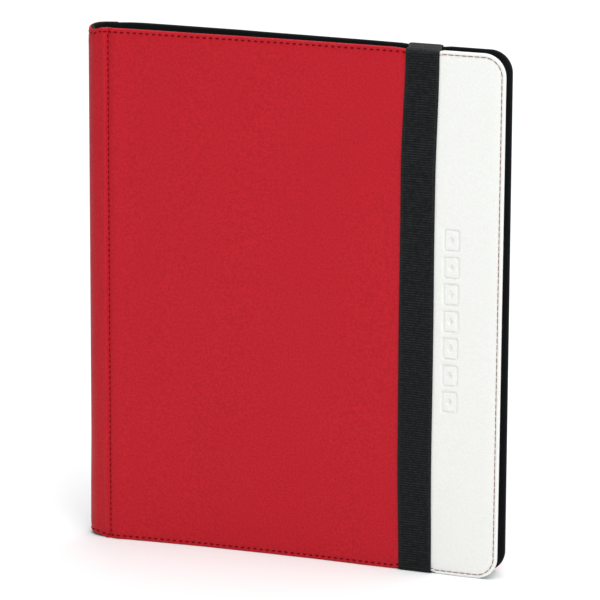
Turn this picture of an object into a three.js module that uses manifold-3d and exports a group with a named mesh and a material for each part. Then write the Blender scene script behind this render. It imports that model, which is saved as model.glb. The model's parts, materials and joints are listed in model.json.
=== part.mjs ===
// A trading card binder, closed and standing on its bottom edge: two padded leatherette covers on a
// rounded soft spine, twenty side-loading nine-pocket pages on one binding, and an elastic strap that
// holds it shut. Millimetres, +Z up. X runs from the spine to the fore-edge, the front cover faces -Y.
// Inside the group x = 0 is the fold line, where the covers hinge on the spine.
import * as THREE from "three";
import { mergeVertices } from "three/addons/utils/BufferGeometryUtils.js";
import Module from "manifold-3d";

const wasm = await Module();
wasm.setup();

// Driving dimensions
const COVER_HEIGHT = 318;
const COVER_WIDTH = 247; // fold line to fore-edge
const CLOSED_THICKNESS = 18; // outer face to outer face
const CORNER_RADIUS = 13.5; // the two fore-edge corners
const EDGE_GAP = 0.4; // each cover stops this far short of the fold line

// The layers of a cover, from its outer face inwards
const SKIN = 0.8;
const FOAM = 0.7;
const BOARD = 1.2;
const LINING = 0.8;
const LAYER_GAP = 0.05;
const COVER = SKIN + FOAM + BOARD + LINING;
const SKIN_RIM = 1.6; // leatherette turned over the board's edge
const HINGE_HEM = 3; // solid leatherette beside the fold line
const LINING_INSET = 0.3; // the lining stops just inside the skin's edge

// The rounded spine, in plan
const SPINE_DEPTH = 15.5; // how far it stands out from the fold line
const SPINE_HALF_WIDTH = 10.3;
const SPINE_ROUND_START = 3; // the fold ridges end and the round begins here
const SPINE_SKIN = 1;
const SPINE_STIFFENER = 0.5;
const SPINE_LINING = 0.5;
const SPINE_SEGMENTS = 20;
const STIFFENER_HALF_ANGLE = Math.PI / 3;

// Pages: a black core with clear pocket film on both faces, all turning about one upright axis
const PAGE_COUNT = 20;
const PAGE_WIDTH = 232;
const PAGE_HEIGHT = 296;
const PAGE = 0.3;
const PAGE_PITCH = 0.36;
const PAGE_CORNER_RADIUS = 3;
const PAGE_AXIS_X = 6;
const PAGE_ROOT = 2.6; // from the axis to the page's bound edge
const BINDING_RADIUS = 1.8;
const BINDING_WEB = 1;
const FLANGE_X = [1.5, 30];
const FLANGE = 0.75;

// Elastic strap and its fixings in the rear cover
const STRAP_X = 194.5;
const STRAP_WIDTH = 22;
const STRAP = 0.9;
const STRAP_CLEARANCE = 0.1;
const STRAP_PROUD_AT_TOP = 0.4;
const STRAP_END_REACH = 24; // how far each end runs down or up the rear face
const STRAP_TAB_SIZE = 20;
const STRAP_TAB_EDGE = 21; // from the cover's edge to the near end of a tab

const ARC_SEGMENTS = 8;
const HALF_THICKNESS = CLOSED_THICKNESS / 2;
const FRONT = -1;
const REAR = 1;
const PAST = 5; // how far cutting solids run past what they cut

// Materials
const colours = {
  redLeatherette: [0xb3222e, 0.55],
  whiteLeatherette: [0xf0f1ec, 0.5],
  blackFabric: [0x15171a, 0.85],
  foam: [0xb9b6ae, 0.95],
  greyboard: [0x8d8577, 0.9],
  blackPlastic: [0x101113, 0.45],
  pageFilm: [0x17181b, 0.25],
  elastic: [0x222425, 0.8],
};

function material(name) {
  const [color, roughness] = colours[name];
  return new THREE.MeshStandardMaterial({ color, roughness, metalness: 0 });
}

function piece(name, geometry, materialName) {
  const mesh = new THREE.Mesh(geometry, material(materialName));
  mesh.name = name;
  return mesh;
}

// Boolean helpers
function solid(geometry) {
  const bare = geometry.clone();
  bare.deleteAttribute("normal");
  bare.deleteAttribute("uv");
  const merged = mergeVertices(bare, 1e-4);
  return new wasm.Manifold(
    new wasm.Mesh({
      numProp: 3,
      vertProperties: new Float32Array(merged.attributes.position.array),
      triVerts: new Uint32Array(merged.index.array),
    }),
  );
}

function geometryOf(manifold) {
  const mesh = manifold.getMesh();
  const geometry = new THREE.BufferGeometry();
  geometry.setAttribute("position", new THREE.BufferAttribute(mesh.vertProperties, 3));
  geometry.setIndex(new THREE.BufferAttribute(mesh.triVerts, 1));
  geometry.computeVertexNormals();
  return geometry;
}

function cut(geometry, ...cutters) {
  const result = cutters.reduce((left, cutter) => left.subtract(solid(cutter)), solid(geometry));
  return geometryOf(result);
}

function box(x, y, z) {
  const geometry = new THREE.BoxGeometry(x[1] - x[0], y[1] - y[0], z[1] - z[0]);
  return geometry.translate((x[0] + x[1]) / 2, (y[0] + y[1]) / 2, (z[0] + z[1]) / 2);
}

// An outline in the XZ plane made into a plate between two values of y.
function plate(shape, y) {
  const geometry = new THREE.ExtrudeGeometry(shape, {
    depth: y[1] - y[0],
    bevelEnabled: false,
    curveSegments: ARC_SEGMENTS,
  });
  return geometry.rotateX(Math.PI / 2).translate(0, y[1], 0);
}

// An outline in the XY plane drawn up between two values of z.
function upright(shape, z) {
  const geometry = new THREE.ExtrudeGeometry(shape, {
    depth: z[1] - z[0],
    bevelEnabled: false,
    curveSegments: ARC_SEGMENTS,
  });
  return geometry.translate(0, 0, z[0]);
}

// The y range of a layer that lies between two depths under a cover's outer face.
function layer(side, from, to) {
  const outer = side * (HALF_THICKNESS - from);
  const inner = side * (HALF_THICKNESS - to);
  return [Math.min(outer, inner), Math.max(outer, inner)];
}

// A cover's outline from x to the rounded fore-edge, drawn `inset` inside the cover's own edge.
function coverOutline(x, inset) {
  const right = COVER_WIDTH - inset;
  const top = COVER_HEIGHT - inset;
  const radius = CORNER_RADIUS - inset;
  const shape = new THREE.Shape();
  shape.moveTo(x, inset);
  shape.lineTo(right - radius, inset);
  shape.absarc(right - radius, inset + radius, radius, -Math.PI / 2, 0, false);
  shape.absarc(right - radius, top - radius, radius, 0, Math.PI / 2, false);
  shape.lineTo(x, top);
  shape.closePath();
  return shape;
}

function rectangle(x, z) {
  const shape = new THREE.Shape();
  shape.moveTo(x[0], z[0]);
  shape.lineTo(x[1], z[0]);
  shape.lineTo(x[1], z[1]);
  shape.lineTo(x[0], z[1]);
  shape.closePath();
  return shape;
}

// Where the strap crosses the top and bottom edges it lies in a shallow dent.
const strapX = [STRAP_X - STRAP_WIDTH / 2, STRAP_X + STRAP_WIDTH / 2];
const strapTop = COVER_HEIGHT + STRAP_PROUD_AT_TOP;
const dentX = [strapX[0] - STRAP_CLEARANCE, strapX[1] + STRAP_CLEARANCE];

function strapDents() {
  const y = [-HALF_THICKNESS - PAST, HALF_THICKNESS + PAST];
  return [
    box(dentX, y, [-PAST, STRAP + STRAP_CLEARANCE]),
    box(dentX, y, [strapTop - STRAP - STRAP_CLEARANCE, COVER_HEIGHT + PAST]),
  ];
}

// The z ranges of the two slits in the rear skin that the strap's ends go in by.
function strapSlits() {
  const lower = [STRAP_END_REACH - STRAP - STRAP_CLEARANCE, STRAP_END_REACH + STRAP_CLEARANCE];
  return [lower, [COVER_HEIGHT - lower[1], COVER_HEIGHT - lower[0]]];
}

// Leatherette skins: a thin face with its edges turned in over the padded board
const trayDepth = SKIN + FOAM + BOARD;

function pocketDepths(side) {
  const [low, high] = layer(side, SKIN, trayDepth + PAST);
  return [low, high];
}

function redFrontSkin() {
  const seam = STRAP_X - LAYER_GAP;
  const face = plate(rectangle([EDGE_GAP, seam], [0, COVER_HEIGHT]), layer(FRONT, 0, trayDepth));
  const inside = rectangle([HINGE_HEM, seam + PAST], [SKIN_RIM, COVER_HEIGHT - SKIN_RIM]);
  return cut(face, plate(inside, pocketDepths(FRONT)), ...strapDents());
}

function whiteFrontPanel() {
  const face = plate(coverOutline(STRAP_X, 0), layer(FRONT, 0, trayDepth));
  const inside = plate(coverOutline(STRAP_X - PAST, SKIN_RIM), pocketDepths(FRONT));
  return cut(face, inside, ...strapDents());
}

function redRearSkin() {
  const face = plate(coverOutline(EDGE_GAP, 0), layer(REAR, 0, trayDepth));
  const inside = plate(coverOutline(HINGE_HEM, SKIN_RIM), pocketDepths(REAR));
  const slits = strapSlits().map((z) => box(dentX, [0, HALF_THICKNESS + PAST], z));
  return cut(face, inside, ...strapDents(), ...slits);
}

// Padding, board and lining
const fillStart = HINGE_HEM + 0.2;
const fillInset = SKIN_RIM + 0.2;

function strapTabRanges() {
  const lower = [STRAP_TAB_EDGE, STRAP_TAB_EDGE + STRAP_TAB_SIZE];
  return [lower, [COVER_HEIGHT - lower[1], COVER_HEIGHT - lower[0]]];
}

function foamPad(side) {
  const pad = plate(
    coverOutline(fillStart, fillInset),
    layer(side, SKIN + LAYER_GAP, SKIN + FOAM - LAYER_GAP),
  );
  if (side === FRONT) return pad;
  const room = strapTabRanges().map((z) =>
    box([strapX[0] - 1, strapX[1] + 1], [0, HALF_THICKNESS], [z[0] - 1, z[1] + 1]),
  );
  return cut(pad, ...room);
}

function board(side) {
  const depths = layer(side, SKIN + FOAM, trayDepth - LAYER_GAP);
  return plate(coverOutline(fillStart, fillInset), depths);
}

function lining(side) {
  const face = plate(coverOutline(EDGE_GAP, LINING_INSET), layer(side, trayDepth, COVER));
  return cut(face, ...strapDents());
}

// A band that follows the spine's round, between two depths under its outer face.
function spinePoint(depth, angle) {
  const across = SPINE_DEPTH - SPINE_ROUND_START - depth;
  const aside = SPINE_HALF_WIDTH - depth;
  return new THREE.Vector2(
    -SPINE_ROUND_START + across * Math.cos(angle),
    aside * Math.sin(angle),
  );
}

function spineArc(depth, from, to) {
  const points = [];
  for (let i = 0; i <= SPINE_SEGMENTS; i++) {
    points.push(spinePoint(depth, from + ((to - from) * i) / SPINE_SEGMENTS));
  }
  return points;
}

function spineBand(outer, inner, toFold) {
  const half = toFold ? Math.PI / 2 : STIFFENER_HALF_ANGLE;
  const outside = spineArc(outer, Math.PI - half, Math.PI + half);
  const inside = spineArc(inner, Math.PI + half, Math.PI - half);
  if (toFold) {
    outside.unshift(new THREE.Vector2(-EDGE_GAP, HALF_THICKNESS - outer));
    outside.push(new THREE.Vector2(-EDGE_GAP, -(HALF_THICKNESS - outer)));
    inside.unshift(new THREE.Vector2(-EDGE_GAP, -(HALF_THICKNESS - inner)));
    inside.push(new THREE.Vector2(-EDGE_GAP, HALF_THICKNESS - inner));
  }
  return new THREE.Shape([...outside, ...inside]);
}

function spinePieces() {
  const stiffener = SPINE_SKIN + LAYER_GAP;
  const liner = stiffener + SPINE_STIFFENER + LAYER_GAP;
  const skinShape = spineBand(0, SPINE_SKIN, true);
  const stiffenerShape = spineBand(stiffener, stiffener + SPINE_STIFFENER, false);
  const linerShape = spineBand(liner, liner + SPINE_LINING, true);
  const inner = [LINING_INSET, COVER_HEIGHT - LINING_INSET];
  const short = [SKIN_RIM, COVER_HEIGHT - SKIN_RIM];
  return [
    piece("spine_skin", upright(skinShape, [0, COVER_HEIGHT]), "redLeatherette"),
    piece("spine_stiffener", upright(stiffenerShape, short), "greyboard"),
    piece("spine_lining", upright(linerShape, inner), "blackFabric"),
  ];
}

// The binding that the pages turn on: a round bead on a web, standing on a flange sewn to the lining
const pageZ = [(COVER_HEIGHT - PAGE_HEIGHT) / 2, (COVER_HEIGHT + PAGE_HEIGHT) / 2];
const liningFace = HALF_THICKNESS - COVER;

function bindingPieces() {
  const flangeY = [liningFace - LAYER_GAP - FLANGE, liningFace - LAYER_GAP];
  const half = Math.asin(BINDING_WEB / 2 / BINDING_RADIUS);
  const bead = new THREE.Shape();
  bead.absarc(PAGE_AXIS_X, 0, BINDING_RADIUS, Math.PI / 2 + half, (Math.PI * 5) / 2 - half, false);
  bead.lineTo(PAGE_AXIS_X + BINDING_WEB / 2, flangeY[0] - LAYER_GAP);
  bead.lineTo(PAGE_AXIS_X - BINDING_WEB / 2, flangeY[0] - LAYER_GAP);
  bead.closePath();
  return [
    piece("page_binding", upright(bead, pageZ), "blackPlastic"),
    piece("binding_flange", box(FLANGE_X, flangeY, pageZ), "blackFabric"),
  ];
}

// Pages, numbered from the front
function pageOutline() {
  const left = PAGE_AXIS_X + PAGE_ROOT;
  const right = left + PAGE_WIDTH;
  const r = PAGE_CORNER_RADIUS;
  const shape = new THREE.Shape();
  shape.moveTo(left, pageZ[0]);
  shape.absarc(right - r, pageZ[0] + r, r, -Math.PI / 2, 0, false);
  shape.absarc(right - r, pageZ[1] - r, r, 0, Math.PI / 2, false);
  shape.lineTo(left, pageZ[1]);
  shape.closePath();
  return shape;
}

function pages() {
  const outline = pageOutline();
  return Array.from({ length: PAGE_COUNT }, (_, index) => {
    const middle = (index - (PAGE_COUNT - 1) / 2) * PAGE_PITCH;
    const name = "page_" + String(index + 1).padStart(2, "0");
    return piece(name, plate(outline, [middle - PAGE / 2, middle + PAGE / 2]), "pageFilm");
  });
}

// Elastic strap: down the front, over the top and bottom edges and in through the rear skin's slits
function strapOutline() {
  const outer = HALF_THICKNESS + STRAP_CLEARANCE + STRAP;
  const inner = HALF_THICKNESS + STRAP_CLEARANCE;
  const tucked = HALF_THICKNESS - SKIN + LAYER_GAP;
  const [lower, upper] = strapSlits();
  const lowEnd = [lower[0] + STRAP_CLEARANCE, lower[1] - STRAP_CLEARANCE];
  const highEnd = [upper[0] + STRAP_CLEARANCE, upper[1] - STRAP_CLEARANCE];
  // y and z of the outline's corners
  const corners = [
    [-outer, 0],
    [outer, 0],
    [outer, lowEnd[1]],
    [tucked, lowEnd[1]],
    [tucked, lowEnd[0]],
    [inner, lowEnd[0]],
    [inner, STRAP],
    [-inner, STRAP],
    [-inner, strapTop - STRAP],
    [inner, strapTop - STRAP],
    [inner, highEnd[1]],
    [tucked, highEnd[1]],
    [tucked, highEnd[0]],
    [outer, highEnd[0]],
    [outer, strapTop],
    [-outer, strapTop],
  ];
  return new THREE.Shape(corners.map(([y, z]) => new THREE.Vector2(y, z)));
}

function elasticStrap() {
  const geometry = new THREE.ExtrudeGeometry(strapOutline(), {
    depth: STRAP_WIDTH,
    bevelEnabled: false,
  });
  // local x, y and z become y, z and x
  geometry.rotateX(Math.PI / 2).rotateZ(Math.PI / 2).translate(strapX[0], 0, 0);
  return geometry;
}

function strapTab(z) {
  return box(strapX, layer(REAR, SKIN + LAYER_GAP, SKIN + FOAM - LAYER_GAP), z);
}

// Assembly
const rearCover = new THREE.Group();
rearCover.add(
  piece("rear_skin", redRearSkin(), "redLeatherette"),
  piece("rear_foam", foamPad(REAR), "foam"),
  piece("rear_board", board(REAR), "greyboard"),
  piece("rear_lining", lining(REAR), "blackFabric"),
  ...bindingPieces(),
  piece("strap_tab_lower", strapTab(strapTabRanges()[0]), "elastic"),
  piece("strap_tab_upper", strapTab(strapTabRanges()[1]), "elastic"),
);

const spine = new THREE.Group();
spine.add(...spinePieces());

const frontCover = new THREE.Group();
frontCover.add(
  piece("front_skin", redFrontSkin(), "redLeatherette"),
  piece("fore_edge_panel", whiteFrontPanel(), "whiteLeatherette"),
  piece("front_foam", foamPad(FRONT), "foam"),
  piece("front_board", board(FRONT), "greyboard"),
  piece("front_lining", lining(FRONT), "blackFabric"),
);

const pageBlock = new THREE.Group();
pageBlock.add(...pages());

const strap = new THREE.Group();
strap.add(piece("elastic_strap", elasticStrap(), "elastic"));

// The group is shifted so that its origin is at the middle of the closed binder's base.
const binder = new THREE.Group();
binder.add(rearCover, spine, frontCover, pageBlock, strap);
binder.position.x = -(COVER_WIDTH - SPINE_DEPTH) / 2;

export default binder;
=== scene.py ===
# A trading card binder, closed, standing on its bottom edge with its strap on.
# Shapes are worked out in millimetres in the binder's own terms: u runs from the fold line to the
# fore-edge, y from the front cover to the rear one, z is the height, and depth is measured inwards
# from a cover's outer face. place() turns them into metres.
import json
import math

import bmesh
import bpy
import numpy as np
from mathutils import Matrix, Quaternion, Vector


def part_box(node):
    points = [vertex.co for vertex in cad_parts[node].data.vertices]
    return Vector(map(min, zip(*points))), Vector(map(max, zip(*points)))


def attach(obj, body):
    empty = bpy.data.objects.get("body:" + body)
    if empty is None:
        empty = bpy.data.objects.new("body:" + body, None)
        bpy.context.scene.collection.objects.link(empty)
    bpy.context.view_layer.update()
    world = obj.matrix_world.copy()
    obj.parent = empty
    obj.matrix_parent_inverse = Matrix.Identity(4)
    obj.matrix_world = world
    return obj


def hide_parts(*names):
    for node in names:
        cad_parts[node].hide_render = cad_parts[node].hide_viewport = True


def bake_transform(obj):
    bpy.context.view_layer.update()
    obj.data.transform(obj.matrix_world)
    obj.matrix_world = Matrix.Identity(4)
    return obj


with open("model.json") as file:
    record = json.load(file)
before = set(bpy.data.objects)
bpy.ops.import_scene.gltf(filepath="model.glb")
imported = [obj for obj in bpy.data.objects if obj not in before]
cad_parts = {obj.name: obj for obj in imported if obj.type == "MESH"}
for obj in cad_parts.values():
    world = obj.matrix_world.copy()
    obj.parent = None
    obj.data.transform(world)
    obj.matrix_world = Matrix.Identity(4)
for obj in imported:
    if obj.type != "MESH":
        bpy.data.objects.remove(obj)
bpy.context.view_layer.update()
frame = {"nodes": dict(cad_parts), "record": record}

# ---------------------------------------------------------------- sizes, from the frame
MM = 0.001
record = frame["record"]
joints = {joint["name"]: joint for joint in record["behaviour"]["joints"]}
rear_high = Vector(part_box("rear_skin")[1]) / MM
panel_low = Vector(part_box("fore_edge_panel")[0]) / MM
strap_low, strap_high = (Vector(corner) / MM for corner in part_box("elastic_strap"))
spine_low, spine_high = (Vector(corner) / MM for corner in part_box("spine_skin"))
page_low, page_high = (Vector(corner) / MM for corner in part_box("page_01"))

FOLD_X = joints["spine_hinge"]["pos_m"][0] / MM
AXIS_U = joints["turn_page_01"]["pos_m"][0] / MM - FOLD_X
HEIGHT = rear_high.z
WIDTH = rear_high.x - FOLD_X
HALF = rear_high.y
SEAM_U = panel_low.x - FOLD_X
STRAP_U = (strap_low.x + strap_high.x) / 2 - FOLD_X
STRAP_HALF_WIDTH = (strap_high.x - strap_low.x) / 2
STRAP_TOP = strap_high.z
SPINE_DEPTH = FOLD_X - spine_low.x
SPINE_HALF = spine_high.y
PAGES = sorted(name for name in frame["nodes"] if name.startswith("page_") and name[-1].isdigit())
PAGE_ROOT_U = page_low.x - FOLD_X
PAGE_END_U = page_high.x - FOLD_X

CORNER = 13.5
CORNER_STEPS = 6  # grid lines on each half of a rounded corner
FOLD_REACH = 3.0  # the leatherette bends this far each side of a fold line
BAND = 12.0  # the shaped band along each edge, before the plain middle of a cover
STITCH_INSET = 2.3
FRONT, REAR = -1, 1

# Cross-sections along an edge, as (distance in from the edge, depth under the outer face)
SKIN_EDGE = [
    (BAND, 0.0), (8.5, -0.03), (6.2, 0.0), (4.8, 0.06), (3.7, 0.16), (2.9, 0.3), (STITCH_INSET, 0.38),
    (1.8, 0.27), (1.3, 0.17), (0.95, 0.2), (0.6, 0.36), (0.28, 0.66), (0.08, 1.0), (0.0, 1.3),
    (0.1, 1.58), (0.4, 1.7), (1.55, 1.7), (1.6, 1.6), (1.65, 0.95), (1.75, 0.85), (BAND, 0.8),
]
LINING_EDGE = [
    (BAND, 3.5), (3.2, 3.5), (STITCH_INSET, 3.42), (1.6, 3.48), (0.8, 3.42), (0.35, 3.15), (0.2, 2.7),
    (0.15, 2.2), (0.25, 1.85), (0.6, 1.75), (1.65, 1.75), (1.7, 1.9), (1.75, 2.6), (1.9, 2.72),
    (BAND, 2.72),
]

# The rear cover's leatherette is turned over less, so that only its lining shows from in front
REAR_SKIN_EDGE = SKIN_EDGE[:10] + [
    (0.65, 0.3), (0.42, 0.5), (0.32, 0.72), (0.3, 0.88),
    (0.36, 1.0), (0.6, 1.06), (1.55, 1.06), (1.6, 1.02), (1.65, 0.95), (1.75, 0.85), (BAND, 0.8),
]
REAR_LINING_EDGE = [
    (BAND, 3.5), (3.2, 3.5), (STITCH_INSET, 3.42), (1.6, 3.48), (0.8, 3.42), (0.3, 3.15), (0.06, 2.6),
    (0.0, 1.9), (0.1, 1.35), (0.5, 1.12), (1.65, 1.12), (1.7, 1.3), (1.75, 2.6), (1.9, 2.72),
    (BAND, 2.72),
]


def slab_edge(inset, outer, inner):
    """The cross-section of a plain sheet with slightly rounded edges, between two depths."""
    round_off = min(0.15, (inner - outer) / 3)
    return [
        (BAND, outer), (inset + round_off, outer), (inset, outer + round_off),
        (inset, inner - round_off), (inset + round_off, inner), (BAND, inner),
    ]


# ---------------------------------------------------------------- mesh building
def place(points):
    """Local millimetres (u, y, z) into metres in the row frame."""
    return (np.asarray(points, float) + (FOLD_X, 0.0, 0.0)) * MM


SHARP = math.radians(58)


class Patches:
    """Grids and polygons of points, joined into one mesh where their edges meet."""

    def __init__(self):
        self.points = []
        self.faces = []

    def add(self, points):
        start = len(self.points)
        self.points.extend(np.asarray(points, float).reshape(-1, 3))
        return start

    def grid(self, points):
        points = np.asarray(points, float)
        rows, columns = points.shape[:2]
        start = self.add(points)
        for i in range(rows - 1):
            for j in range(columns - 1):
                a = start + i * columns + j
                self.faces.append((a, a + 1, a + columns + 1, a + columns))

    def polygon(self, points):
        start = self.add(points)
        self.faces.append(tuple(range(start, start + len(points))))

    def build(self, name, shape=None, marks=None):
        """The mesh as an object. `marks` names lists of a number for each point, for materials to read."""
        points = np.array(self.points)
        if shape is not None:
            points = shape(points)
        mesh = bpy.data.meshes.new(name)
        mesh.from_pydata(place(points).tolist(), [], self.faces)
        for key, values in (marks or {}).items():
            mesh.attributes.new(key, "FLOAT", "POINT").data.foreach_set("value", values)
        bm = bmesh.new()
        bm.from_mesh(mesh)
        bmesh.ops.remove_doubles(bm, verts=bm.verts, dist=2e-6)
        bmesh.ops.recalc_face_normals(bm, faces=bm.faces)
        if bm.calc_volume(signed=True) < 0:
            bmesh.ops.reverse_faces(bm, faces=bm.faces)
        bm.to_mesh(mesh)
        bm.free()
        mesh.shade_smooth()
        mesh.set_sharp_from_angle(angle=SHARP)
        obj = bpy.data.objects.new(name, mesh)
        bpy.context.collection.objects.link(obj)
        return obj


def spaced(start, end, step):
    """Evenly spaced values from start to end, about step apart."""
    return np.linspace(start, end, max(2, int(round(abs(end - start) / step)) + 1))


CORNER_SINES = np.sin(np.radians(np.linspace(0, 45, CORNER_STEPS + 1)))
GRID_STEP = 6.0


def inner_heights(z_lines):
    """The heights of a cover's grid lines inside the edge band."""
    reach = (CORNER - BAND) * math.sqrt(2) * CORNER_SINES[1:]
    return np.concatenate([CORNER - reach[::-1], z_lines, HEIGHT - CORNER + reach])


PLAIN_Z = spaced(CORNER, HEIGHT - CORNER, GRID_STEP)


def rounded_cover(name, u_lines, z_lines, profile, side, shape=None):
    """A cover layer with rounded fore-edge corners, from u_lines[0] to the fore-edge.

    The last of u_lines is where the corners begin.
    """
    patches = Patches()
    corner_u = WIDTH - CORNER
    angles = np.concatenate([np.arcsin(CORNER_SINES), (math.pi / 2 - np.arcsin(CORNER_SINES))[-2::-1]])
    inner_z = inner_heights(z_lines)

    def ring(inset, depth):
        radius = CORNER - inset
        low = [(u, inset) for u in u_lines]
        low += [(corner_u + radius * math.sin(a), CORNER - radius * math.cos(a)) for a in angles[1:]]
        right = [(WIDTH - inset, z) for z in z_lines[1:-1]]
        high = [(u, HEIGHT - z) for u, z in reversed(low)]
        y = side * (HALF - depth)
        return [(u, y, z) for u, z in low + right + high]

    def middle(inset, depth):
        radius = CORNER - inset
        reach = radius * math.sqrt(2) * CORNER_SINES[1:]
        grid = np.zeros((len(u_lines) + CORNER_STEPS, len(inner_z), 3))
        for i, u in enumerate(np.concatenate([u_lines, corner_u + reach])):
            for j, z in enumerate(inner_z):
                across = max(0.0, (u - corner_u) / radius)
                below = max(0.0, (CORNER - z) / radius)
                above = max(0.0, (z - HEIGHT + CORNER) / radius)
                away = max(below, above)
                new_u, new_z = u, z
                if across > 0 and away > 0:
                    new_u = corner_u + radius * across * math.sqrt(max(0.0, 1 - away**2 / 2))
                    drop = radius * away * math.sqrt(max(0.0, 1 - across**2 / 2))
                    new_z = CORNER - drop if below > 0 else HEIGHT - CORNER + drop
                grid[i, j] = (new_u, side * (HALF - depth), new_z)
        return grid

    rings = [ring(*point) for point in profile]
    first, last = middle(*profile[0]), middle(*profile[-1])
    patches.grid(rings)
    patches.grid(first)
    patches.grid(last)
    patches.grid([first[0], last[0]])
    patches.polygon([one[0] for one in rings])
    patches.polygon([one[-1] for one in rings])
    return patches.build(name, shape)


def swept_cover(name, stations, profile, shape=None, last_profile=None):
    """A layer that follows a curve in plan. Each station is (u, y, inward u, inward y)."""
    patches = Patches()
    inner_z = inner_heights(PLAIN_Z)
    first_edge = np.array(profile)
    last_edge = np.array(last_profile or profile)
    shares = np.linspace(0, 1, len(stations))
    edges = [(1 - share) * first_edge + share * last_edge for share in shares]

    def points(station, heights, depths):
        u, y, inward_u, inward_y = station
        return [(u + inward_u * depth, y + inward_y * depth, z) for z, depth in zip(heights, depths)]

    def runs(station, edge):
        inset, depth = edge.T
        return (
            points(station, inset, depth),
            points(station, HEIGHT - inset, depth),
            points(station, inner_z, [depth[0]] * len(inner_z)),
            points(station, inner_z, [depth[-1]] * len(inner_z)),
        )

    rows = [runs(station, edge) for station, edge in zip(stations, edges)]
    for k in range(4):
        patches.grid([row[k] for row in rows])
    for low, high, outer, inner in (rows[0], rows[-1]):
        patches.grid([outer, inner])
        patches.polygon(low)
        patches.polygon(high)
    return patches.build(name, shape)


# ---------------------------------------------------------------- the binder's plan curve
GROOVE_Y = HALF - 0.5  # the stitched fold line lies in a groove
# The outer face from the front cover's fold to the spine's back, as (u, distance from the middle plane)
HALF_PLAN = [
    (FOLD_REACH + 1, HALF), (FOLD_REACH, HALF), (1.4, HALF - 0.02), (0.6, HALF - 0.16), (0.0, GROOVE_Y),
    (-0.6, HALF - 0.1), (-1.3, SPINE_HALF - 0.42), (-2.1, SPINE_HALF), (-FOLD_REACH, SPINE_HALF - 0.06),
    (-4.2, SPINE_HALF - 0.62), (-6.0, SPINE_HALF - 1.0), (-9.0, SPINE_HALF - 1.9),
    (-12.0, SPINE_HALF - 3.9), (-14.8, SPINE_HALF - 6.9), (-SPINE_DEPTH - 0.6, 0.0),
]
SPAN_STEPS = 4


def smooth_through(controls, steps):
    """A smooth line through every control point, with `steps` pieces between neighbours."""
    controls = np.asarray(controls, float)
    padded = np.vstack([2 * controls[0] - controls[1], controls, 2 * controls[-1] - controls[-2]])
    line = []
    for a, b, c, d in zip(padded, padded[1:], padded[2:], padded[3:]):
        for t in np.arange(steps) / steps:
            square, cube = 2 * a - 5 * b + 4 * c - d, 3 * b - a - 3 * c + d
            line.append(0.5 * (2 * b + (c - a) * t + square * t**2 + cube * t**3))
    return np.array(line + [controls[-1]])


def plan_line():
    """The whole outer face in plan, as stations of (u, y, inward u, inward y)."""
    mirrored = [(u, -y) for u, y in reversed(HALF_PLAN[:-1])]
    line = smooth_through([(u, -y) for u, y in HALF_PLAN] + [(u, -y) for u, y in mirrored], SPAN_STEPS)
    tangent = np.gradient(line, axis=0)
    tangent /= np.linalg.norm(tangent, axis=1)[:, None]
    return np.column_stack([line, tangent[:, 1], -tangent[:, 0]])


PLAN = plan_line()
COVER_EDGE, SPINE_EDGE = SPAN_STEPS, 8 * SPAN_STEPS  # where u is FOLD_REACH, and where it is -FOLD_REACH
for end, inward_y in ((COVER_EDGE, 1.0), (len(PLAN) - 1 - COVER_EDGE, -1.0)):
    PLAN[end, 2:] = (0.0, inward_y)
FRONT_FOLD = PLAN[COVER_EDGE:SPINE_EDGE + 1]
SPINE_ROUND = PLAN[SPINE_EDGE:len(PLAN) - SPINE_EDGE]
REAR_FOLD = PLAN[len(PLAN) - 1 - SPINE_EDGE:len(PLAN) - COVER_EDGE]


def straight_stations(u_values, side):
    return [(u, side * HALF, 0.0, -side) for u in u_values]


# ---------------------------------------------------------------- soft shape of the covers
# How far each soft cover stands inwards of the flat one, as (u, millimetres): the front one stands
# out beside the spine and is drawn in towards the strap, and the rear one bellies out
FRONT_TOP_SHIFT = [
    (0, -2.1), (4, -2.7), (14, -1.6), (35, -0.9), (56, -0.5), (80, 0.5), (110, 1.4), (150, 1.85),
    (WIDTH, 1.85),
]
FRONT_BOTTOM_SHIFT = [
    (0, -1.5), (4, -1.9), (13, -0.8), (31, 0.3), (60, 1.6), (100, 1.85), (131, 1.7), (170, 0.4),
    (WIDTH, -1.6),
]
REAR_SHIFT = [
    (0, -1.2), (8, -3.7), (14, -4.5), (31, -4.7), (75, -4.6), (94, -3.7), (113, -3.2), (150, -2.2),
    (190, -0.3), (WIDTH, 0.0),
]
SPINE_TUCK = 1.8  # how far the spine's front face draws back at its foot
SPINE_TUCK_REACH = 60.0  # the height that this eases out over
SPINE_FLARE = 1.3  # how far the spine's back spreads out at its foot
SPINE_FLARE_REACH = 70.0
SPINE_ROUNDING = (1.2, 1.8)  # how far the spine's front face stops short of the bottom and top edges
SPINE_ROUNDING_REACH = 45.0
DENT = 1.0  # how far the strap pulls the edges in
DENT_SIDE = 1.6  # the width of a dent's sloping sides
DENT_REACH = 9.0
STRAP_LEAN = (1.0, 1.9)  # how far the strap leans to the fore-edge at its bottom and its top


def smoothstep(value):
    value = np.clip(value, 0.0, 1.0)
    return value * value * (3 - 2 * value)


def wave(u, z, seed):
    """Slow, slight unevenness of padded leatherette."""
    total = np.zeros_like(u)
    for k, (length, tilt) in enumerate([(71.0, 0.4), (47.0, 1.3), (33.0, 2.2), (24.0, 0.9)]):
        phase = seed * 1.7 + k * 2.1
        along = (u * math.cos(tilt + seed) + z * math.sin(tilt + seed)) / length
        total += np.sin(2 * math.pi * along + phase) / (k + 1.5)
    return total


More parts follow.
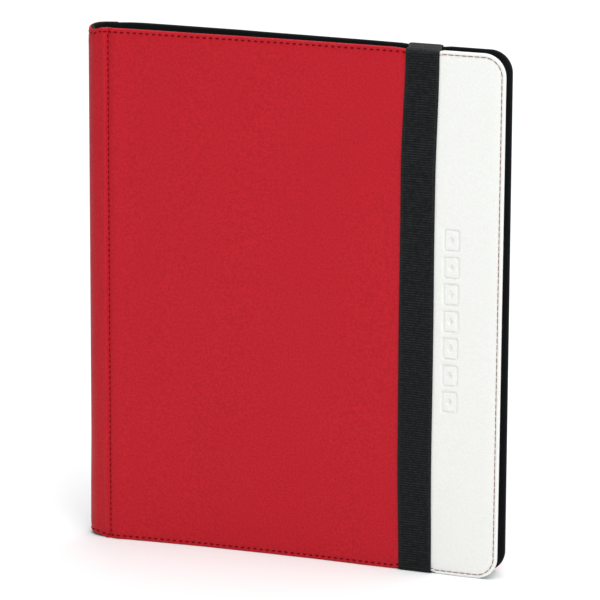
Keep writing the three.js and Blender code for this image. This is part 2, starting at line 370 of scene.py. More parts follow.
def eased(controls, u):
    """A curve through (u, value) pairs, level at each of them."""
    places, values = np.array(controls).T
    right = np.clip(np.searchsorted(places, u, side="right"), 1, len(places) - 1)
    start, end = places[right - 1], places[right]
    plain = np.clip((u - start) / (end - start), 0, 1)
    share = smoothstep(plain)
    share = 0.5 * (share + plain)
    return values[right - 1] * (1 - share) + values[right] * share


def front_shift(u, z):
    up = z / HEIGHT
    return up * eased(FRONT_TOP_SHIFT, u) + (1 - up) * eased(FRONT_BOTTOM_SHIFT, u)


def rear_shift(u, z):
    return (0.6 + 0.4 * z / HEIGHT) * eased(REAR_SHIFT, u)


def foot_tuck(u, z):
    """How far the front of the spine draws back near its foot."""
    return SPINE_TUCK * smoothstep((1.5 - u) / 6) * smoothstep(1 - z / SPINE_TUCK_REACH)


def cover_shape(side, seed=0.0, unevenness=0.0):
    """The shift that makes a flat cover layer into a soft one, as a function of its points."""

    def shape(points):
        points = points.copy()
        u, z = points[:, 0], points[:, 2]
        inside = smoothstep((u - FOLD_REACH) / 20) * smoothstep((WIDTH - u) / 20)
        shift = front_shift(u, z) + foot_tuck(u, z) if side == FRONT else rear_shift(u, z)
        middle = inside * smoothstep(z / 20) * smoothstep((HEIGHT - z) / 20)
        shift = shift + unevenness * middle * wave(u, z, seed)
        points[:, 1] -= side * shift
        off_strap = np.abs(u - STRAP_U - strap_lean(z)) - STRAP_HALF_WIDTH
        across = smoothstep((DENT_SIDE - off_strap) / DENT_SIDE)
        bottom_dent = DENT * smoothstep(1 - z / DENT_REACH)
        top_dent = (DENT - STRAP_TOP + HEIGHT) * smoothstep(1 - (HEIGHT - z) / DENT_REACH)
        points[:, 2] += across * (bottom_dent - top_dent)
        return points

    return shape


def near_top(z):
    return smoothstep((z - HEIGHT + 80) / 80)


def near_foot(z):
    return smoothstep(1 - z / 70)


def strap_lean(z):
    """In front, the strap runs a little towards the fore-edge at its ends."""
    return STRAP_LEAN[1] * near_top(z) + STRAP_LEAN[0] * near_foot(z)


def spine_shape(points):
    """Swells the spine's sides to meet the covers, rounds its front's ends, and spreads its foot."""
    points = points.copy()
    u, y, z = points.T.copy()
    at_fold = np.zeros_like(z)
    points[:, 1] += front_shift(at_fold, z) * smoothstep(-y / 6)
    points[:, 1] -= rear_shift(at_fold, z) * smoothstep(y / 6)
    front = smoothstep((5 - y) / 9)
    far = smoothstep((-u - 3) / 7) * front
    points[:, 1] += front * foot_tuck(u, z)
    points[:, 0] -= SPINE_FLARE * far * smoothstep(1 - z / SPINE_FLARE_REACH)
    low, high = SPINE_ROUNDING
    points[:, 2] += far * low * smoothstep(1 - z / SPINE_ROUNDING_REACH)
    points[:, 2] -= far * high * smoothstep(1 - (HEIGHT - z) / SPINE_ROUNDING_REACH)
    return points


# ---------------------------------------------------------------- materials
class Nodes:
    """A small helper that makes and links shader nodes."""

    def __init__(self, name):
        self.material = bpy.data.materials.new(name)
        self.material.use_nodes = True
        self.tree = self.material.node_tree
        self.shader = self.tree.nodes["Principled BSDF"]
        self.place = self.new("ShaderNodeTexCoord").outputs["Object"]

    def new(self, kind, **settings):
        node = self.tree.nodes.new(kind)
        for key, value in settings.items():
            setattr(node, key, value)
        return node

    def link(self, source, target):
        self.tree.links.new(source, target)

    def noise(self, scale, detail=2.0, roughness=0.5):
        node = self.new("ShaderNodeTexNoise")
        node.inputs["Scale"].default_value = scale
        node.inputs["Detail"].default_value = detail
        node.inputs["Roughness"].default_value = roughness
        self.link(self.place, node.inputs["Vector"])
        return node.outputs["Fac"]

    def cells(self, scale):
        node = self.new("ShaderNodeTexVoronoi")
        node.feature = "DISTANCE_TO_EDGE"
        node.inputs["Scale"].default_value = scale
        self.link(self.place, node.inputs["Vector"])
        return node.outputs["Distance"]

    def waves(self, scale, direction, distortion):
        node = self.new("ShaderNodeTexWave")
        node.bands_direction = direction
        node.inputs["Scale"].default_value = scale
        node.inputs["Distortion"].default_value = distortion
        self.link(self.place, node.inputs["Vector"])
        return node.outputs["Fac"]

    def remap(self, value, low, high, new_low, new_high):
        node = self.new("ShaderNodeMapRange")
        for key, number in zip(("From Min", "From Max", "To Min", "To Max"), (low, high, new_low, new_high)):
            node.inputs[key].default_value = number
        self.link(value, node.inputs["Value"])
        return node.outputs["Result"]

    def math(self, operation, a, b):
        node = self.new("ShaderNodeMath", operation=operation)
        for socket, value in zip(node.inputs, (a, b)):
            if isinstance(value, (int, float)):
                socket.default_value = value
            else:
                self.link(value, socket)
        return node.outputs["Value"]

    def blend_colours(self, factor, first, second):
        node = self.new("ShaderNodeMix", data_type="RGBA")
        for key, value in ((0, factor), (6, first), (7, second)):
            if isinstance(value, tuple):
                node.inputs[key].default_value = (*value, 1.0)
            else:
                self.link(value, node.inputs[key])
        return node.outputs[2]

    def bump(self, height, distance, strength=1.0, below=None):
        node = self.new("ShaderNodeBump")
        node.inputs["Strength"].default_value = strength
        node.inputs["Distance"].default_value = distance
        self.link(height, node.inputs["Height"])
        if below is not None:
            self.link(below, node.inputs["Normal"])
        return node.outputs["Normal"]

    def finish(self, colour, roughness, normal=None, **constants):
        self.link(colour, self.shader.inputs["Base Color"])
        self.link(roughness, self.shader.inputs["Roughness"])
        if normal is not None:
            self.link(normal, self.shader.inputs["Normal"])
        for key, value in constants.items():
            self.shader.inputs[key.replace("_", " ")].default_value = value
        return self.material


def leatherette(name, base, pale, deep, roughness, specular):
    """Fine pebbled imitation leather: small cells, finer pores, a very slight slow mottling."""
    nodes = Nodes(name)
    mottle = nodes.remap(nodes.noise(30, 3, 0.5), 0.35, 0.65, 0.0, 1.0)
    grain = nodes.remap(nodes.noise(820, 3, 0.55), 0.36, 0.64, 0.0, 1.0)
    tone = nodes.blend_colours(nodes.math("MULTIPLY", mottle, 0.4), base, pale)
    tone = nodes.blend_colours(nodes.math("MULTIPLY", grain, 0.9), tone, deep)
    pebble = nodes.remap(nodes.cells(1150), 0.0, 0.35, 0.0, 1.0)
    pores = nodes.noise(2600, 2, 0.6)
    crease = nodes.remap(nodes.noise(420, 4, 0.65), 0.35, 0.65, 0.0, 1.0)
    tone = nodes.blend_colours(nodes.remap(pebble, 0.0, 0.25, 0.4, 0.0), tone, deep)
    normal = nodes.bump(crease, 0.00008, 0.5)
    normal = nodes.bump(pebble, 0.00005, 0.7, normal)
    normal = nodes.bump(pores, 0.00002, 0.5, normal)
    gloss = nodes.remap(nodes.noise(90, 3), 0.3, 0.7, roughness - 0.04, roughness + 0.05)
    return nodes.finish(tone, gloss, normal, Specular_IOR_Level=specular)


def woven(name, base, pale, scale):
    """Plain woven cloth: warp and weft as crossed waves, with stray lighter fibres."""
    nodes = Nodes(name)
    weave = nodes.math("MULTIPLY", nodes.waves(scale, "X", 0.4), nodes.waves(scale, "Z", 0.4))
    fibre = nodes.remap(nodes.noise(3200, 3, 0.7), 0.5, 0.75, 0.0, 1.0)
    tone = nodes.blend_colours(nodes.math("MULTIPLY", fibre, 0.8), base, pale)
    tone = nodes.blend_colours(nodes.remap(weave, 0.0, 0.5, 0.45, 0.0), tone, (0.003, 0.003, 0.0035))
    normal = nodes.bump(weave, 0.00006, 0.9)
    normal = nodes.bump(nodes.noise(2400, 2), 0.00003, 0.5, normal)
    gloss = nodes.remap(nodes.noise(300, 2), 0.3, 0.7, 0.78, 0.92)
    return nodes.finish(tone, gloss, normal, Specular_IOR_Level=0.14, Sheen_Weight=0.06, Sheen_Roughness=0.5)


def ribbed_elastic(name, base, pale):
    """Knitted elastic: cross ribs with painted light on their crests and painted shade in their grooves,
    plainer selvedges from the mesh's own attributes, fine wales, and a lighter top fold that is partly fuzz
    and partly painted sheen.
    """
    nodes = Nodes(name)
    rib = nodes.new("ShaderNodeAttribute", attribute_name="rib").outputs["Fac"]
    across = nodes.new("ShaderNodeAttribute", attribute_name="across").outputs["Fac"]
    # Painted light and shade across the ribs: each crest is painted lighter and each groove darker.
    painted_rib_shade = nodes.remap(rib, -0.9, 0.9, 0.0, 1.0)
    wales = nodes.waves(420, "X", 0.6)
    fibre = nodes.remap(nodes.noise(2600, 4, 0.7), 0.45, 0.75, 0.0, 1.0)
    split = nodes.new("ShaderNodeSeparateXYZ")
    nodes.link(nodes.place, split.inputs["Vector"])
    selvedge = nodes.remap(across, 0.8, 0.85, 0.0, 1.0)
    rib_shade_and_tone = nodes.math("MULTIPLY", nodes.math("MULTIPLY", painted_rib_shade, 0.8), nodes.remap(wales, 0.0, 1.0, 0.45, 1.0))
    patchy = nodes.remap(nodes.noise(520, 3), 0.35, 0.65, 0.25, 1.2)
    rib_shade_and_tone = nodes.math("MULTIPLY", rib_shade_and_tone, patchy)
    rib_shade_and_tone = nodes.math("MULTIPLY", rib_shade_and_tone, nodes.remap(fibre, 0.0, 1.0, 0.5, 1.3))
    rib_shade_and_tone = nodes.math("ADD", rib_shade_and_tone, nodes.math("MULTIPLY", selvedge, 0.12))
    tone = nodes.blend_colours(rib_shade_and_tone, base, pale)
    # A lighter band along the top fold: partly fuzz of the worn elastic, partly a painted sheen where the
    # strap turns over the top.
    fuzz_and_sheen = nodes.remap(split.outputs["Z"], (HEIGHT - 2.4) * MM, (HEIGHT - 0.6) * MM, 0.0, 0.75)
    tone = nodes.blend_colours(nodes.math("MULTIPLY", fuzz_and_sheen, fibre), tone, (0.1, 0.102, 0.105))
    normal = nodes.bump(wales, 0.00008, 0.6)
    normal = nodes.bump(nodes.noise(1900, 3), 0.00005, 0.6, normal)
    gloss = nodes.remap(nodes.noise(300, 2), 0.3, 0.7, 0.8, 0.94)
    return nodes.finish(tone, gloss, normal, Specular_IOR_Level=0.1, Sheen_Weight=0.04, Sheen_Roughness=0.5)


def plain(name, base, other, scale, roughness, bump_scale, bump_depth, **constants):
    """A simple surface with a slow colour drift and a fine texture."""
    nodes = Nodes(name)
    tone = nodes.blend_colours(nodes.remap(nodes.noise(scale, 4, 0.6), 0.3, 0.7, 0.0, 1.0), base, other)
    normal = nodes.bump(nodes.noise(bump_scale, 3, 0.6), bump_depth, 0.6)
    gloss = nodes.remap(nodes.noise(scale * 3, 2), 0.3, 0.7, roughness - 0.05, roughness + 0.05)
    return nodes.finish(tone, gloss, normal, **constants)


RED = leatherette(
    "red_leatherette", (0.535, 0.010, 0.021), (0.56, 0.013, 0.025), (0.42, 0.006, 0.014), 0.5, 0.16
)
WHITE = leatherette(
    "white_leatherette", (0.86, 0.86, 0.83), (0.88, 0.88, 0.85), (0.82, 0.82, 0.79), 0.46, 0.3
)
LINING = woven("black_lining", (0.0045, 0.005, 0.0062), (0.012, 0.012, 0.014), 900)
ELASTIC = ribbed_elastic("elastic", (0.005, 0.006, 0.0065), (0.042, 0.044, 0.045))
THREAD = plain(
    "stitching_thread", (0.115, 0.001, 0.003), (0.16, 0.002, 0.005), 900, 0.8, 5000, 0.00005,
    Specular_IOR_Level=0.05,
)
BROWN_THREAD = plain(
    "panel_thread", (0.17, 0.05, 0.042), (0.25, 0.09, 0.078), 900, 0.8, 5000, 0.00005,
    Specular_IOR_Level=0.05,
)
FOAM = plain("foam", (0.5, 0.48, 0.43), (0.42, 0.4, 0.36), 300, 0.9, 2500, 0.0002)
BOARD = plain("greyboard", (0.27, 0.24, 0.19), (0.2, 0.18, 0.15), 250, 0.85, 1800, 0.0001)
FILM = plain(
    "page_film", (0.009, 0.009, 0.011), (0.014, 0.014, 0.016), 120, 0.18, 130, 0.00012,
    Specular_IOR_Level=0.5, Coat_Weight=0.5, Coat_Roughness=0.08,
)
PAGE_SHEET = plain("page_sheet", (0.006, 0.006, 0.007), (0.01, 0.01, 0.011), 150, 0.62, 900, 0.00004)
BINDING = plain("binding_plastic", (0.012, 0.012, 0.014), (0.02, 0.02, 0.022), 200, 0.45, 1600, 0.00005)
FLOOR = plain(
    "floor", (0.895, 0.925, 0.928), (0.885, 0.915, 0.918), 3, 0.8, 400, 0.00002,
    Specular_IOR_Level=0.2,
)


def finished(obj, material):
    obj.data.materials.clear()
    obj.data.materials.append(material)
    return obj


# ---------------------------------------------------------------- covers, folds and spine
FOLD_SIDE_U = [FOLD_REACH, 4.0, 5.5, 7.5, 10.0, 13.0, 17.0]
COVER_U = np.concatenate([FOLD_SIDE_U, spaced(22, WIDTH - CORNER, GRID_STEP)])


def add_folds(name, profile, rear_profile, material, node):
    """A layer that goes round the spine: a bend at each fold line and the round between them."""
    bend_front = swept_cover(name + "_front_fold", FRONT_FOLD, profile, cover_shape(FRONT))
    around = swept_cover(name + "_spine", SPINE_ROUND, profile, spine_shape, rear_profile)
    bend_rear = swept_cover(name + "_rear_fold", REAR_FOLD, rear_profile, cover_shape(REAR))
    for part in (bend_front, around, bend_rear):
        finished(part, material)
    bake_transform(bend_front)
    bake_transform(bend_rear)
    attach(around, "spine")
    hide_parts(node)


def red_front():
    seam = SEAM_U - 0.05
    u_values = np.concatenate([FOLD_SIDE_U, spaced(22, seam - 3, GRID_STEP), spaced(seam - 2, seam, 1.0)])
    cover = swept_cover(
        "front_cover_skin", straight_stations(u_values, FRONT), SKIN_EDGE, cover_shape(FRONT, 1.0, 0.06)
    )
    finished(cover, RED)
    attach(cover, "front_cover")
    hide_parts("front_skin")


# A plain debossed ornament on the panel: a column of small card outlines, each with a diamond in it
MARK_U = STRAP_U + 21.0
MARK_Z = 156.0
MARK_CARDS = 7
MARK_PITCH = 16.4
MARK_CARD = (4.3, 6.2)  # half width and half height
MARK_CORNER = 1.1
MARK_LINE = 0.7
MARK_SINK = 0.72
MARK_REACH = (MARK_CARD[0] + 1, MARK_PITCH * MARK_CARDS / 2)
MARK_STEP = 0.27  # the panel's grid is this fine under the ornament
MARK_DIAMOND = (1.7, 2.7)  # half width and half height


def mark_sink(u, z):
    """How deep the ornament is pressed in at a point of the panel."""
    across = np.abs(u - MARK_U)
    along = z - MARK_Z + MARK_REACH[1]
    inside = (along > 0) & (along < 2 * MARK_REACH[1])
    along = np.abs(along % MARK_PITCH - MARK_PITCH / 2)
    qu, qz = across - MARK_CARD[0] + MARK_CORNER, along - MARK_CARD[1] + MARK_CORNER
    outline = np.hypot(np.maximum(qu, 0), np.maximum(qz, 0)) + np.minimum(np.maximum(qu, qz), 0) - MARK_CORNER
    line = smoothstep((MARK_LINE + 0.12 - np.abs(outline)) / 0.3)
    diamond = smoothstep((1 - across / MARK_DIAMOND[0] - along / MARK_DIAMOND[1]) / 0.2)
    return MARK_SINK * inside * np.maximum(line, diamond)


def panel_shape(points):
    sink = mark_sink(points[:, 0], points[:, 2]) * (points[:, 1] < 0.05 - HALF)
    points = cover_shape(FRONT, 1.0, 0.04)(points)
    points[:, 1] += sink
    return points


def white_panel():
    fine_u = spaced(MARK_U - MARK_REACH[0], MARK_U + MARK_REACH[0], MARK_STEP)
    before, after = spaced(SEAM_U, fine_u[0] - 1, 3), spaced(fine_u[-1] + 1, WIDTH - CORNER, 2)
    u_lines = np.concatenate([before, fine_u, after])
    fine_z = spaced(MARK_Z - MARK_REACH[1], MARK_Z + MARK_REACH[1], MARK_STEP)
    below = spaced(CORNER, fine_z[0] - 3, GRID_STEP)
    above = spaced(fine_z[-1] + 3, HEIGHT - CORNER, GRID_STEP)
    z_lines = np.concatenate([below, fine_z, above])
    panel = rounded_cover("front_fore_edge_panel", u_lines, z_lines, SKIN_EDGE, FRONT, panel_shape)
    finished(panel, WHITE)
    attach(panel, "front_cover")
    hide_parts("fore_edge_panel")


def red_rear():
    shape = cover_shape(REAR, 4.0, 0.06)
    cover = rounded_cover("rear_cover_skin", COVER_U, PLAIN_Z, REAR_SKIN_EDGE, REAR, shape)
    finished(cover, RED)
    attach(cover, "rear_cover")
    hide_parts("rear_skin")


def cover_layers(side, body, prefix):
    """What lies under a cover's skin: foam, board and the lining on the inner face."""
    lining_edge = LINING_EDGE if side == FRONT else REAR_LINING_EDGE
    layers = [
        ("padding", slab_edge(1.85, 0.86, 1.44), FOAM, "foam", prefix + "_foam"),
        ("stiff_board", slab_edge(1.8, 1.5, 2.65), BOARD, "greyboard", prefix + "_board"),
        ("inner_lining", lining_edge, LINING, "black_lining", prefix + "_lining"),
    ]
    for name, profile, material, slot, node in layers:
        obj = rounded_cover(f"{prefix}_{name}", COVER_U, PLAIN_Z, profile, side, cover_shape(side))
        finished(obj, material)
        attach(obj, body)
        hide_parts(node)


red_front()
white_panel()
red_rear()
cover_layers(FRONT, "front_cover", "front")
cover_layers(REAR, "rear_cover", "rear")
add_folds("leatherette", SKIN_EDGE, REAR_SKIN_EDGE, RED, "spine_skin")
add_folds("lining", LINING_EDGE, REAR_LINING_EDGE, LINING, "spine_lining")
stiffener_stations = SPINE_ROUND[SPINE_ROUND[:, 0] < -7]
stiffener = swept_cover("spine_flexible_stiffener", stiffener_stations, slab_edge(2.0, 1.2, 1.7), spine_shape)
finished(stiffener, BOARD)
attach(stiffener, "spine")
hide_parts("spine_stiffener")
for tab in ("strap_tab_lower", "strap_tab_upper"):
    finished(frame["nodes"][tab], ELASTIC)


# ---------------------------------------------------------------- binding
def binding():
    """The bead that the pages turn on, its web, and the flange that is sewn to the rear lining."""
    bead_low, bead_high = (Vector(corner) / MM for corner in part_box("page_binding"))
    flange_low, flange_high = (Vector(corner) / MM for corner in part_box("binding_flange"))
    radius = -bead_low.y
    web = 0.5
    heights = spaced(bead_low.z, bead_high.z, 8)
    open_angle = math.asin(web / radius)
    turns = math.pi / 2 + np.linspace(open_angle, 2 * math.pi - open_angle, 25)
    outline = [(AXIS_U + radius * math.cos(a), radius * math.sin(a)) for a in turns]
    outline += [(AXIS_U + web, bead_high.y), (AXIS_U - web, bead_high.y), outline[0]]
    patches = Patches()
    patches.grid([[(u, y, z) for u, y in outline] for z in heights])
    for z in (heights[0], heights[-1]):
        patches.polygon([(u, y, z) for u, y in outline[:-1]])

    def reach_back(points):
        points = points.copy()
        back = smoothstep((points[:, 1] - radius) / 1.5)
        points[:, 1] -= back * rear_shift(points[:, 0], points[:, 2])
        return points

    bead = finished(patches.build("page_binding_bead", reach_back), BINDING)
    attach(bead, "rear_cover")
    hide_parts("page_binding")

    patches = Patches()
    across = spaced(flange_low.x - FOLD_X, flange_high.x - FOLD_X, 2.0)
    sheets = [np.array([[(u, y, z) for z in heights] for u in across]) for y in (flange_low.y, flange_high.y)]
    front, back = sheets
    patches.grid(front)
    patches.grid(back)
    for edge in (0, -1):
        patches.grid([front[edge], back[edge]])
        patches.grid([front[:, edge], back[:, edge]])
    flange = finished(patches.build("page_binding_flange", cover_shape(REAR)), LINING)
    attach(flange, "rear_cover")
    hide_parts("binding_flange")


binding()


# ---------------------------------------------------------------- stitching
STITCH_PITCH = 4.0
STITCH_LENGTH = 2.3
STITCH_RADIUS = 0.42
FOLD_STITCH_PITCH = 3.45
STITCH_SIDES = 8
STITCH_DEPTH = 0.2
CURVED_STITCH_DEPTH = 0.3  # on the spine and the folds
FOLD_STITCH_LENGTH = 2.2
PANEL_STITCH_LENGTH = 3.8
PANEL_STITCH_RADIUS = 0.23
CAPSULE = [(-1.0, 0.25), (-0.8, 0.75), (-0.4, 1.0), (0.4, 1.0), (0.8, 0.75), (1.0, 0.25)]


def stitch(patches, centre, along, outward, length, radius):
    """One short length of thread, lying along `along`, with rounded ends that dive into the leatherette."""
    along = along / np.linalg.norm(along)
    outward = outward / np.linalg.norm(outward)
    aside = np.cross(along, outward)
    turns = np.linspace(0, 2 * math.pi, STITCH_SIDES + 1)
    rings = []
    for share, thick in CAPSULE:
        middle = centre + along * share * length / 2 - outward * radius * 0.9 * share**4
        rings.append([
            middle + radius * thick * (aside * math.cos(a) + outward * math.sin(a)) for a in turns
        ])
    patches.grid(rings)
    patches.polygon(rings[0][:-1])
    patches.polygon(rings[-1][:-1])


def resample(points, pitch):
    """Points a pitch apart along a polyline, with the direction of each."""
    points = np.asarray(points, float)
    steps = np.linalg.norm(np.diff(points, axis=0), axis=1)
    along = np.concatenate([[0], np.cumsum(steps)])
    count = max(1, int(round(along[-1] / pitch)))
    where = (np.arange(count) + 0.5) * along[-1] / count
    placed = np.stack([np.interp(where, along, points[:, k]) for k in range(3)], axis=1)
    ahead = np.stack([np.interp(where + 0.3, along, points[:, k]) for k in range(3)], axis=1)
    behind = np.stack([np.interp(where - 0.3, along, points[:, k]) for k in range(3)], axis=1)
    return placed, ahead - behind


def edge_path(u_start, side, rounded):
    """The stitch line from u_start along the bottom edge, up the fore-edge and back along the top."""
    inset = STITCH_INSET
    y = side * (HALF - STITCH_DEPTH)
    if not rounded:
        top = HEIGHT - inset
        return [(u_start, y, inset), (SEAM_U, y, inset)], [(SEAM_U, y, top), (u_start, y, top)]
    radius = CORNER - inset
    turns = np.linspace(0, math.pi / 2, 13)
    corner_u = WIDTH - CORNER
    low = [(u_start, y, inset)]
    low += [(corner_u + radius * math.sin(a), y, CORNER - radius * math.cos(a)) for a in turns]
    high = [(u, y, HEIGHT - z) for u, y, z in reversed(low)]
    return (low + high,)


def cover_stitches(name, paths, side, body, material, length=STITCH_LENGTH, radius=STITCH_RADIUS):
    patches = Patches()
    outward = np.array([0.0, side, 0.0])
    for path in paths:
        for centre, along in zip(*resample(path, STITCH_PITCH)):
            stitch(patches, centre, along, outward, length, radius)
    obj = finished(patches.build(name, cover_shape(side)), material)
    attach(obj, body)


def plan_stitches(name, stations, heights, shape, upright_at=None):
    """Stitches along the top and bottom of a curved part, and up a fold line."""
    patches = Patches()
    rows = np.asarray(stations)
    for z in heights:
        path = [(u + nu * CURVED_STITCH_DEPTH, y + ny * CURVED_STITCH_DEPTH, z) for u, y, nu, ny in rows]
        for centre, along in zip(*resample(path, STITCH_PITCH)):
            nearest = rows[np.argmin(np.linalg.norm(rows[:, :2] - centre[:2], axis=1))]
            outward = -np.array([nearest[2], nearest[3], 0.0])
            stitch(patches, centre, along, outward, STITCH_LENGTH, STITCH_RADIUS)
    if upright_at is not None:
        y = upright_at * (GROOVE_Y - 0.05)
        line = [(0.0, y, STITCH_INSET + 1.0), (0.0, y, HEIGHT - STITCH_INSET - 1.0)]
        outward = np.array([0.0, upright_at, 0.0])
        for centre, along in zip(*resample(line, FOLD_STITCH_PITCH)):
            stitch(patches, centre, along, outward, FOLD_STITCH_LENGTH, STITCH_RADIUS)
    return patches.build(name, shape)


stitch_heights = (STITCH_INSET, HEIGHT - STITCH_INSET)
front_paths = edge_path(FOLD_REACH, FRONT, False)
cover_stitches("front_cover_stitching", front_paths, FRONT, "front_cover", THREAD)
panel_paths = edge_path(SEAM_U + 1, FRONT, True)
cover_stitches(
    "front_panel_stitching", panel_paths, FRONT, "front_cover", BROWN_THREAD,
    PANEL_STITCH_LENGTH, PANEL_STITCH_RADIUS,
)
rear_paths = edge_path(FOLD_REACH, REAR, True)
cover_stitches("rear_cover_stitching", rear_paths, REAR, "rear_cover", THREAD)
spine_stitching = plan_stitches("spine_stitching", SPINE_ROUND, stitch_heights, spine_shape)
finished(spine_stitching, THREAD)
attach(spine_stitching, "spine")
for fold_name, fold, cover, side in (
    ("front_fold_stitching", FRONT_FOLD, "front_cover", FRONT),
    ("rear_fold_stitching", REAR_FOLD, "rear_cover", REAR),
):
    obj = plan_stitches(fold_name, fold, stitch_heights, cover_shape(side), side)
    finished(obj, THREAD)
    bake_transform(obj)


# ---------------------------------------------------------------- elastic strap
STRAP_THICK = 0.9
STRAP_RIB = 1.5
STRAP_STEP = 0.25
STRAP_COLUMNS = 17
STRAP_SLIT = 23.5  # from the rear cover's edge to the slit that the strap goes in by


def rounded_route(corners, radius):
    """A polyline in (y, z) with its corners turned into arcs."""
    corners = [np.array(c, float) for c in corners]
    route = [corners[0]]
    for before, corner, after in zip(corners, corners[1:], corners[2:]):
        to_before = (before - corner) / np.linalg.norm(before - corner)
        to_after = (after - corner) / np.linalg.norm(after - corner)
        reach = min(radius, np.linalg.norm(before - corner) / 2, np.linalg.norm(after - corner) / 2)
        first, last = corner + to_before * reach, corner + to_after * reach
        for t in np.linspace(0, 1, 7):
            route.append((1 - t) ** 2 * first + 2 * t * (1 - t) * corner + t**2 * last)
    route.append(corners[-1])
    return np.array(route)


def strap_route():
    """The middle of the strap's thickness, from the lower slit in the rear cover round to the upper one."""
    out = HALF + 0.1 + STRAP_THICK / 2
    low = STRAP_THICK / 2
    high = STRAP_TOP - STRAP_THICK / 2
    ends = STRAP_SLIT, HEIGHT - STRAP_SLIT
    corners = [
        (HALF - 0.5, ends[0]), (out, ends[0]), (out, low), (-out, low),
        (-out, high), (out, high), (out, ends[1]), (HALF - 0.5, ends[1]),
    ]
    return rounded_route(corners, 1.5)


def even(route, step):
    lengths = np.concatenate([[0], np.cumsum(np.linalg.norm(np.diff(route, axis=0), axis=1))])
    where = np.linspace(0, lengths[-1], int(lengths[-1] / step) + 1)
    return np.stack([np.interp(where, lengths, route[:, k]) for k in range(2)], axis=1), where


def strap():
    route, lengths = even(strap_route(), STRAP_STEP)
    tangent = np.gradient(route, axis=0)
    tangent /= np.linalg.norm(tangent, axis=1)[:, None]
    outward = np.stack([tangent[:, 1], -tangent[:, 0]], axis=1)
    across = np.linspace(-1, 1, STRAP_COLUMNS)
    patches = Patches()
    rows = []
    ribs = []
    off_middle = np.abs(np.concatenate([across, -across, across[:1]])).tolist()
    for (y, z), (ny, nz), length in zip(route, outward, lengths):
        rib = math.sin(2 * math.pi * length / STRAP_RIB)
        behind = smoothstep(y / HALF)
        middle_u = STRAP_U + float(strap_lean(z) * smoothstep(0.5 - y / HALF) - 1.2 * near_top(z) * behind)
        half_width = STRAP_HALF_WIDTH - 0.3 - float(0.5 * near_foot(z) + 0.4 * near_top(z))
        ring = []
        for face in (1, -1):
            for t in across * face:
                selvedge = 1 - 0.5 * abs(t) ** 12
                thick = face * (STRAP_THICK / 2 + 0.05 * rib) * selvedge
                u = middle_u + t * (half_width + 0.1 * math.sin(length / 23.0) + 0.05 * rib)
                drawn_in = float(front_shift(u, z) * smoothstep(-y / HALF) - rear_shift(u, z) * behind)
                ring.append((u, y + ny * thick + drawn_in, z + nz * thick))
        rows.append(ring + ring[:1])
        ribs += [rib] * (len(ring) + 1)
    patches.grid(rows)
    patches.polygon(rows[0][:-1])
    patches.polygon(rows[-1][:-1])
    capped = len(patches.points) - len(ribs)
    marks = {"rib": ribs + [0.0] * capped, "across": off_middle * len(rows) + [0.0] * capped}
    obj = finished(patches.build("elastic_closure_strap", marks=marks), ELASTIC)
    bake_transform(obj)
    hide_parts("elastic_strap")


strap()

# ---------------------------------------------------------------- pages
PAGE_CORE = 0.12
POCKET_COLUMNS = 3
POCKET_ROWS = 3
POCKET_GAP = 2.2
BOUND_MARGIN = 16.0
OUTER_MARGIN = 3.0
POCKET_LIFT = 0.085


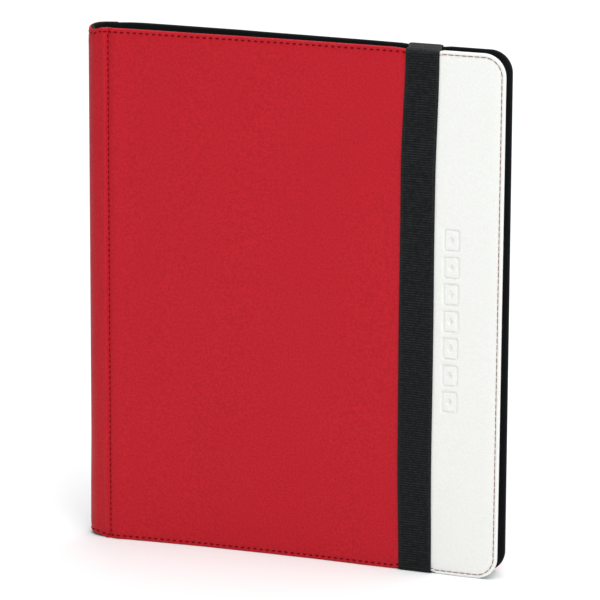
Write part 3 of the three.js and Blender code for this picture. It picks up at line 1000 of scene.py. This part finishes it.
def page(name):
    low, high = (Vector(corner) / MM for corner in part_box(name))
    y = (low.y + high.y) / 2
    bottom, top = low.z, high.z
    patches = Patches()
    # the core, whose bound edge narrows into the binding
    web_u = np.append(AXIS_U + np.array([0.9, 1.4, 1.9]), PAGE_ROOT_U + np.array([0.0, 1.5, 4.0]))
    u_values = np.concatenate([web_u, spaced(PAGE_ROOT_U + 10, PAGE_END_U, 24)])
    z_values = spaced(bottom, top, 24)
    spread = smoothstep((u_values - AXIS_U - 0.6) / (PAGE_ROOT_U - AXIS_U + 0.6))
    thick = PAGE_CORE / 2 * (0.35 + 0.65 * spread)
    faces = []
    for sign in (1, -1):
        faces.append(np.array([
            [(u, y * (0.12 + 0.88 * s) + sign * t, z) for z in z_values]
            for u, s, t in zip(u_values, spread, thick)
        ]))
    upper, lower = faces
    patches.grid(upper)
    patches.grid(lower)
    patches.grid([upper[0], lower[0]])
    patches.grid([upper[-1], lower[-1]])
    patches.grid([upper[:, 0], lower[:, 0]])
    patches.grid([upper[:, -1], lower[:, -1]])
    # nine pockets on each face, each a crowned film that is open along its side towards the binding
    start = PAGE_ROOT_U + BOUND_MARGIN
    width = (PAGE_END_U - OUTER_MARGIN - start - POCKET_GAP * (POCKET_COLUMNS - 1)) / POCKET_COLUMNS
    height = (top - bottom - 2 * OUTER_MARGIN - POCKET_GAP * (POCKET_ROWS - 1)) / POCKET_ROWS
    steps = np.array([0.0, 0.012, 0.03, 0.12, 0.3, 0.5, 0.7, 0.88, 0.97, 0.988, 1.0])
    for column in range(POCKET_COLUMNS):
        for row in range(POCKET_ROWS):
            left = start + column * (width + POCKET_GAP)
            foot = bottom + OUTER_MARGIN + row * (height + POCKET_GAP)
            for sign in (1, -1):
                base = y + sign * PAGE_CORE / 2
                film = []
                for a in steps:
                    line = []
                    for b in steps:
                        rise = min(1.0, (1 - a) / 0.03) * min(1.0, b / 0.03) * min(1.0, (1 - b) / 0.03)
                        notch = 3.5 * math.exp(-(((b - 0.5) / 0.09) ** 2)) * max(0.0, 1 - a / 0.12)
                        crown = 0.8 + 0.2 * math.sin(math.pi * a) * math.sin(math.pi * b)
                        lift = sign * POCKET_LIFT * rise * crown
                        line.append((left + a * width + notch, base + lift, foot + b * height))
                    film.append(line)
                film = np.array(film)
                under = film.copy()
                under[:, :, 1] = base - sign * 0.01
                patches.grid(film)
                patches.grid(under)
                for edge in (0, -1):
                    patches.grid([film[edge], under[edge]])
                    patches.grid([film[:, edge], under[:, edge]])
    obj = finished(patches.build(name + "_pockets"), PAGE_SHEET)
    obj.data.materials.append(FILM)
    for face in obj.data.polygons:
        beyond = abs(face.center.y / MM - y) > PAGE_CORE / 2 + 0.2 * POCKET_LIFT
        face.material_index = int(beyond and face.center.x / MM - FOLD_X > start)
    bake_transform(obj)
    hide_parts(name)


for page_name in PAGES:
    page(page_name)

# ---------------------------------------------------------------- floor, lights and camera
bpy.ops.mesh.primitive_plane_add(size=12, location=(0, 0, 0))
floor = bpy.context.object
floor.name = "studio_floor"
finished(floor, FLOOR)

world = bpy.data.worlds.new("studio")
bpy.context.scene.world = world
world.use_nodes = True
world.node_tree.nodes["Background"].inputs["Color"].default_value = (1.0, 1.0, 1.0, 1)
world.node_tree.nodes["Background"].inputs["Strength"].default_value = 0.3


def softbox(name, location, target, size, power):
    light = bpy.data.lights.new(name, "AREA")
    light.shape = "RECTANGLE"
    light.size, light.size_y = size
    light.energy = power
    obj = bpy.data.objects.new(name, light)
    obj.location = location
    obj.rotation_euler = (Vector(target) - Vector(location)).to_track_quat("-Z", "Y").to_euler()
    bpy.context.collection.objects.link(obj)


softbox("overhead_softbox", (1.1, -0.9, 4.5), (0, -0.2, 0), (4.6, 4.6), 240)
softbox("background_softbox", (0, 3.2, 2.6), (0, 2.7, 0), (4.5, 2.0), 62)
softbox("front_softbox", (0.75, -1.1, 0.8), (0, 0, 0.3), (0.5, 0.5), 4.6)

# The camera stands to the right of the binder and above it, far away, with a long lens.
CAMERA_FROM_FOLD = Vector((1.0139, -2.5341, 0.8399))
VIEW = Vector((-0.3231, 0.9140, -0.2455))
ROLL = 0.0047
SENSOR = 36.0
FOCAL = 278.2
SHIFT = (0.0012, -0.0017)

camera_data = bpy.data.cameras.new("camera")
camera_data.sensor_width = SENSOR
camera_data.lens = FOCAL
camera_data.shift_x, camera_data.shift_y = SHIFT
camera = bpy.data.objects.new("camera", camera_data)
camera.location = CAMERA_FROM_FOLD + Vector((FOLD_X * MM, 0, 0))
camera.rotation_mode = "QUATERNION"
camera.rotation_quaternion = VIEW.to_track_quat("-Z", "Y") @ Quaternion((0, 0, 1), ROLL)
bpy.context.collection.objects.link(camera)
bpy.context.scene.camera = camera

bpy.context.scene.view_settings.view_transform = "Standard"
